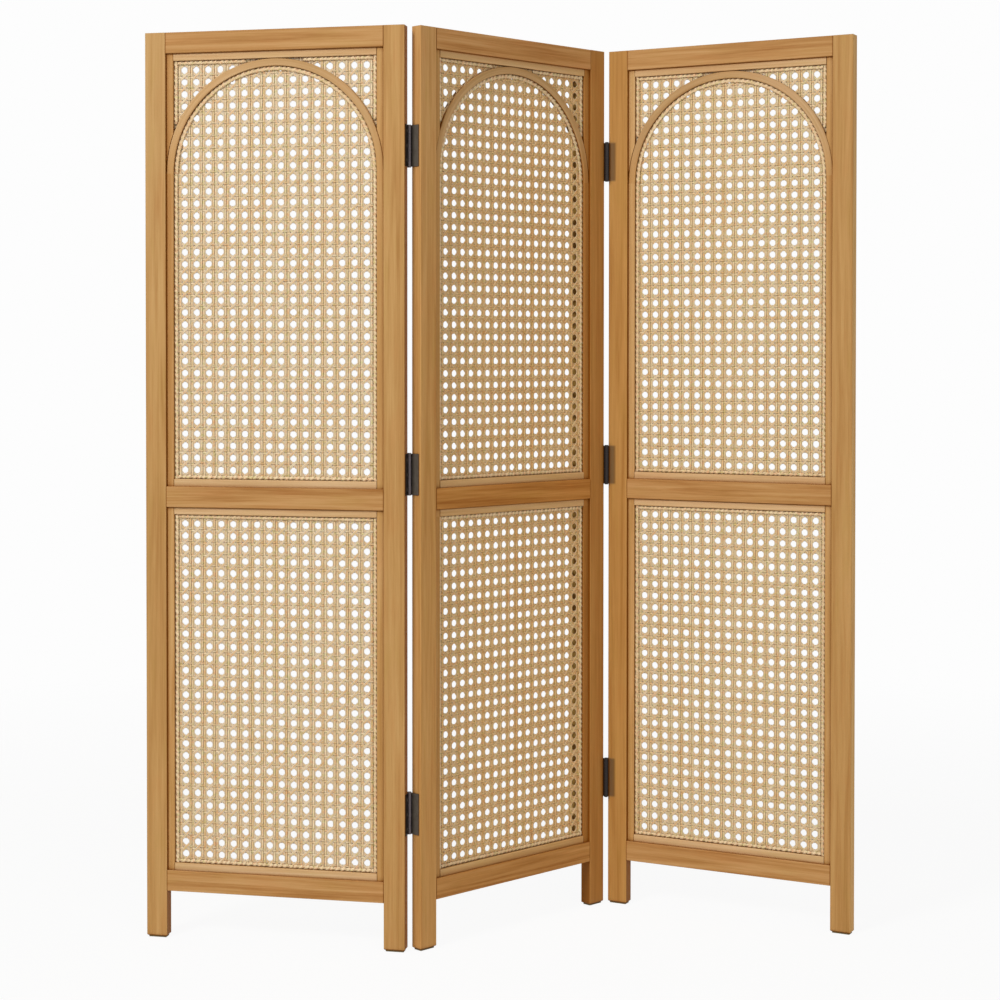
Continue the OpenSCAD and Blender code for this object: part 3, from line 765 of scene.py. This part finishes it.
def trimmed(knots, start, stop, margin):
    """The knots between two ends, with the ends added at the depth of the knots next to them."""
    inside = sorted(k for k in knots if start + margin < k[0] < stop - margin)
    if not inside:
        return []
    return [(start, inside[0][1], AT_END)] + inside + [(stop, inside[-1][1], AT_END)]


def spread(start, length, count):
    """Places of the holes along a line and of the bars beside them, and their pitch."""
    pitch = length / (count - 1)
    holes = [start + i * pitch for i in range(count)]
    bars = [start + (i - 0.5) * pitch for i in range(count + 1)]
    return holes, bars, pitch


def paired(bars, pitch, opening):
    """Width of a paired strand, and the places and sides of the two strands on each bar."""
    width = pitch / 2 - opening - PAIR_GAP / 2
    return width, [(bar + side * (width + PAIR_GAP) / 2, side) for bar in bars for side in (-1, 1)]


def lay_pairs(strands, chance, upright, own, crossed, holes, limits):
    """Paired strands pass over and under those that they cross by turns. The upright ones pass in
    front of the slanting ones, and the cross strands behind them."""
    full_width, lines = own
    depth, shade = (-OUTER, BESIDE) if upright else (OUTER, BESIDE_BEHIND)
    for a, (place, side) in enumerate(lines):
        knots = [(at + way * REACH, depth, shade) for at in holes for way in (-1, 1)]
        for b, (at, _) in enumerate(crossed[1]):
            over = (a + b) % 2 == (0 if upright else 1)
            knots.append((at, -CROSSING if over else CROSSING, OVER if over else UNDER))
        if side < 0:
            off = sway(chance)
        path = trimmed(knots, *limits, REACH / 2)
        width = full_width * (1 - chance.uniform(0, NARROW))
        place -= side * (full_width - width) / 2
        line = [(place + off(at), CANE_MID + deep, at) for at, deep, _ in path]
        sideways = (-side, 0, 0)
        if not upright:
            line, sideways = [spot[::-1] for spot in line], sideways[::-1]
        under = [dark for _, _, dark in path]
        strands.add(line, sideways, width, STRAND_T, chance.random(), under, section=PAIRED)


def lay_slants(strands, chance, slope, corner, pitches, sheet, starts):
    """Slanting strands run through the middles between holes, over the cross strands and under
    the uprights."""
    half = np.array(pitches) / 2
    length = math.hypot(*half)
    full_width = 2 * (half[0] * half[1] / length - OPEN_SLANT)
    step = np.array([half[0], slope * half[1]])
    normal = np.array([-step[1], step[0]]) / length
    over_cross, under_upright = (-OUTER, BETWEEN) if slope > 0 else (BETWEEN, OUTER)
    crossings = ((under_upright, SLANT_UNDER), (over_cross, SLANT_OVER[slope]))
    for start in starts:
        base = np.array([corner[0] + start * pitches[0], corner[1]])
        spans = [sorted((limit - base[axis]) / step[axis] for limit in sheet[axis])
                 for axis in (0, 1)]
        first, last = max(span[0] for span in spans), min(span[1] for span in spans)
        if last - first < SLANT_LEAST:
            continue
        knots = [(k + way * SLANT_REACH, *crossings[k % 2])
                 for k in range(math.floor(first), math.ceil(last) + 1) for way in (-1, 1)]
        path = trimmed(knots, first, last, SLANT_MARGIN)
        if not path:
            continue
        off = sway(chance)
        spots = [base + k * step + off(k * length) * normal for k, _, _ in path]
        line = [(u, CANE_MID + deep, z) for (u, z), (_, deep, _) in zip(spots, path)]
        width = full_width * (1 - chance.uniform(0, NARROW))
        under = [dark for _, _, dark in path]
        strands.add(line, (normal[0], 0.0, normal[1]), width, STRAND_T, chance.random(), under)


def weave(panel, level):
    """Six-way webbing: paired uprights, paired cross strands, and single slants both ways."""
    chance = random.Random(f"{panel.name} {level}")
    strands = Strands()
    low, high = LEVELS[level]
    sides = (STILE_W + CANE_TRIM, PANEL_W - STILE_W - CANE_TRIM)
    ends = (low + CANE_TRIM, high - CANE_TRIM)
    columns, rows = CANE_COLUMNS[panel.name], CANE_ROWS[level]
    first_u = STILE_W + CANE_SIDE
    holes_u, bars_u, pitch_u = spread(first_u, PANEL_W - 2 * first_u, columns)
    holes_z, bars_z, pitch_z = spread(low + CANE_END, high - low - 2 * CANE_END, rows)
    uprights = paired(bars_u, pitch_u, OPEN_U)
    crosses = paired(bars_z, pitch_z, OPEN_Z)
    lay_pairs(strands, chance, True, uprights, crosses, holes_z, ends)
    lay_pairs(strands, chance, False, crosses, uprights, holes_u, sides)
    # Slanting strands start beside the sheet too, as many bars off as it has rows
    starts = range(-rows, columns + 1)
    for slope, first_z in ((1, holes_z[0]), (-1, holes_z[-1])):
        corner = (bars_u[0], first_z)
        lay_slants(strands, chance, slope, corner, (pitch_u, pitch_z), (sides, ends), starts)
    return strands


# The edging: a strip wound round a flat core, with gaps where the core shows, which has painted
# shade towards the wood
BAND_W, ARCH_BAND_W, BAND_T, BAND_DEPTH = 0.0070, 0.0085, 0.0030, 0.0098
# One turn of the strip, its steps, the fewest steps of a run, and every how many of them the core
# has a section
WIND_PITCH, WIND_STEPS, LEAST_STEPS, CORE_EVERY = 0.0100, 9, 4, 3
WIND_W, WIND_T = 0.0054, 0.0009
# The core's width and thickness as shares of the band's, and its tone
CORE_W, CORE_T, CORE_TONE = 0.82, 0.66, 0.5
# Lengths of two waves in the winding, and how far each turns it on
UNEVEN = ((0.034, 0.8), (0.0185, 0.45))
ARCH_STEPS = 72
# How far the bands in the corners end from the arch's outer side
ARCH_CLEAR = 0.0003


def wound(strands, path, band, wood_side, chance):
    """A wound band along a path of points, with the wood on its left (1) or its right (-1)."""
    path = np.asarray(path, float)
    lengths = np.concatenate([[0.0], np.cumsum(np.linalg.norm(np.diff(path, axis=0), axis=1))])
    steps = max(LEAST_STEPS, round(lengths[-1] / WIND_PITCH * WIND_STEPS))
    at = np.linspace(0, lengths[-1], steps + 1)
    center = np.stack([np.interp(at, lengths, path[:, k]) for k in range(3)], axis=1)
    along = np.gradient(center, axis=0)
    along /= np.linalg.norm(along, axis=1, keepdims=True)
    depth = np.array([0.0, 1.0, 0.0])
    sideways = np.cross(along, depth)
    few = sorted({*range(0, len(center), CORE_EVERY), len(center) - 1})
    strands.add(center[few], wood_side * sideways[few], band * CORE_W, BAND_T * CORE_T, CORE_TONE,
                0.0, depth, CORE)
    wide, deep = (band - WIND_T) / 2, (BAND_T - WIND_T) / 2
    angle = math.tau * at / WIND_PITCH + chance.uniform(0, math.tau)
    for wave, reach in UNEVEN:
        angle += reach * np.sin(math.tau * at / wave + chance.uniform(0, math.tau))
    angle = angle[:, None]
    ring = wide * np.cos(angle) * sideways + deep * np.sin(angle) * depth
    out = deep * np.cos(angle) * sideways + wide * np.sin(angle) * depth
    out /= np.linalg.norm(out, axis=1, keepdims=True)
    course = (along * WIND_PITCH / math.tau - wide * np.sin(angle) * sideways
              + deep * np.cos(angle) * depth)
    across = np.cross(out, course / np.linalg.norm(course, axis=1, keepdims=True))
    strands.add(center + ring, across, WIND_W, WIND_T, chance.random(), 0.0, -out, WOUND)


def edging(panel):
    """The wound edging of both openings of a panel."""
    chance = random.Random(panel.name + " edging")
    strands = Strands()
    inside = EDGING_IN - EDGING_D / 2 + BAND_W / 2
    left, right = STILE_W + inside, PANEL_W - STILE_W - inside

    def run(*corners, wood_side=1, band=BAND_W):
        wound(strands, [(u, BAND_DEPTH, z) for u, z in corners], band, wood_side, chance)

    low, high = LEVELS["lower"]
    for z, wood_side in ((low + inside, -1), (high - inside, 1)):
        run((left + BAND_W / 2, z), (right - BAND_W / 2, z), wood_side=wood_side)
    for u, wood_side in ((left, 1), (right, -1)):
        run((u, low + BEAD_W), (u, high - BEAD_W), wood_side=wood_side)
    low, high = LEVELS["upper"]
    center_u, center_z = ARCH_CENTER
    run((left + BAND_W / 2, low + inside), (right - BAND_W / 2, low + inside), wood_side=-1)
    for u, wood_side in ((left, 1), (right, -1)):
        run((u, low + BEAD_W), (u, center_z), wood_side=wood_side)
    inner_r = center_u - STILE_W - EDGING_IN + EDGING_D / 2 - ARCH_BAND_W / 2
    turn = [math.pi * (1 - i / ARCH_STEPS) for i in range(ARCH_STEPS + 1)]
    curve = [(center_u + inner_r * math.cos(a), center_z + inner_r * math.sin(a)) for a in turn]
    run(*curve, band=ARCH_BAND_W)
    outer_r = ARCH_R + ARCH_CLEAR
    rise = math.sqrt(outer_r ** 2 - (center_u - STILE_W - inside - BAND_W / 2) ** 2)
    reach = math.sqrt(outer_r ** 2 - (high - inside - BAND_W / 2 - center_z) ** 2)
    for mirrored in (False, True):
        def flip(u):
            return PANEL_W - u if mirrored else u
        wood_side = -1 if mirrored else 1
        run((flip(left), center_z + rise), (flip(left), high - BEAD_W), wood_side=wood_side)
        run((flip(left + BAND_W / 2), high - inside), (flip(center_u - reach), high - inside),
            wood_side=wood_side)
    return strands


cord_cane = cane_material("edging_cane", EDGING_COLORS)
for name, panel in PANELS.items():
    cane = cane_material(name + "_cane", WEBBING_COLORS, CANE_TONES_AND_SHADE[name])
    for level in LEVELS:
        node_name = f"{name}_panel_{level}_cane"
        piece = weave(panel, level).build(f"{name}_panel_{level}_webbing", panel, cane)
        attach(piece, panel.body)
        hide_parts(node_name)
    node_name = f"{name}_panel_edging"
    piece = edging(panel).build(f"{name}_panel_wound_edging", panel, cord_cane)
    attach(piece, panel.body)
    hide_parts(node_name)


# ---- camera, floor and light

# The camera's place, how many degrees below level it looks, and its lens in millimetres
CAMERA_PLACE = (-0.11697, -4.01085, 1.10581)
CAMERA_DOWN = 1.0
LENS, SENSOR_W = 75.36, 36.0
SHIFT = (0.060, -0.1130)

camera_data = bpy.data.cameras.new("camera")
camera_data.lens = LENS
camera_data.sensor_width = SENSOR_W
camera_data.shift_x, camera_data.shift_y = SHIFT
camera = add_object("camera", camera_data)
camera.location = CAMERA_PLACE
camera.rotation_euler = (math.radians(90 - CAMERA_DOWN), 0, 0)
bpy.context.scene.camera = camera

BACKGROUND, FLOOR_COLOR = srgb("fdfdfd"), srgb("f2f1ef")
FLOOR_R = 3.4
# Where the floor starts to fade and is gone, and how much of it is seen as plain white
FADE_FROM, FADE_TO, FLOOR_GLOW = 1.3, 0.96 * FLOOR_R, 0.925
# The floor's rings as shares of its radius, and its sides
FLOOR_RINGS, FLOOR_SIDES = (0.25, 0.5, 0.75, 1.0), 64


def floor_material():
    """Pale floor that keeps the shadows and fades into the background."""
    graph = new_material("floor")
    place = graph.coordinates()
    distance = graph.add("VectorMath", {0: place}, operation="LENGTH").outputs["Value"]
    fade = graph.stretch(distance, FADE_FROM, FADE_TO)
    plain = graph.add("BsdfDiffuse", {"Color": FLOOR_COLOR}).outputs[0]
    white = graph.add("Emission", {"Color": (1.0, 1.0, 1.0), "Strength": 1.0}).outputs[0]
    clear = graph.add("BsdfTransparent").outputs[0]
    glow = graph.math("MULTIPLY", graph.seen(), FLOOR_GLOW)
    lit = graph.add("MixShader", {0: glow, 1: plain, 2: white}).outputs[0]
    return graph.end("Material", graph.add("MixShader", {0: fade, 1: lit, 2: clear}).outputs[0])


def disc(name, radius, rings, sides):
    points, faces = [(0.0, 0.0, 0.0)], []
    for ring in rings:
        for i in range(sides):
            a = math.tau * i / sides
            points.append((ring * radius * math.cos(a), ring * radius * math.sin(a), 0.0))
    for i in range(sides):
        j = (i + 1) % sides
        faces.append((0, 1 + i, 1 + j))
        for r in range(len(rings) - 1):
            a, b = 1 + r * sides, 1 + (r + 1) * sides
            faces.append((a + i, b + i, b + j, a + j))
    mesh = bpy.data.meshes.new(name)
    mesh.from_pydata(points, [], faces)
    mesh.update()
    return add_object(name, mesh)


floor = disc("floor", FLOOR_R, FLOOR_RINGS, FLOOR_SIDES)
floor.data.materials.append(floor_material())

WORLD_LIGHT, WORLD_COLOR = 0.315, (1.0, 0.985, 0.96)
world = bpy.data.worlds.new("studio")
bpy.context.scene.world = world
sky = Graph(world)
soft = sky.add("Background", {"Color": WORLD_COLOR, "Strength": WORLD_LIGHT}).outputs[0]
shown = sky.add("Background", {"Color": BACKGROUND, "Strength": 1.0}).outputs[0]
sky.end("World", sky.add("MixShader", {0: sky.seen(), 1: soft, 2: shown}).outputs[0])

# Lamps: place, size and power; they face one point of the screen
LAMPS = {
    "key": ((-3.3, -3.8, 4.2), 1.4, 166),
    "fill": ((1.8, -4.5, 2.15), 2.4, 46),
}
LAMP_TARGET = (0.0, 0.0, 0.85)

for name, (place, size, power) in LAMPS.items():
    data = bpy.data.lights.new(name, "AREA")
    data.shape = "SQUARE"
    data.size = size
    data.energy = power
    lamp = add_object(name, data)
    lamp.location = place
    lamp.rotation_euler = (Vector(LAMP_TARGET) - Vector(place)).to_track_quat("-Z", "Y").to_euler()

bpy.context.scene.view_settings.view_transform = "Standard"
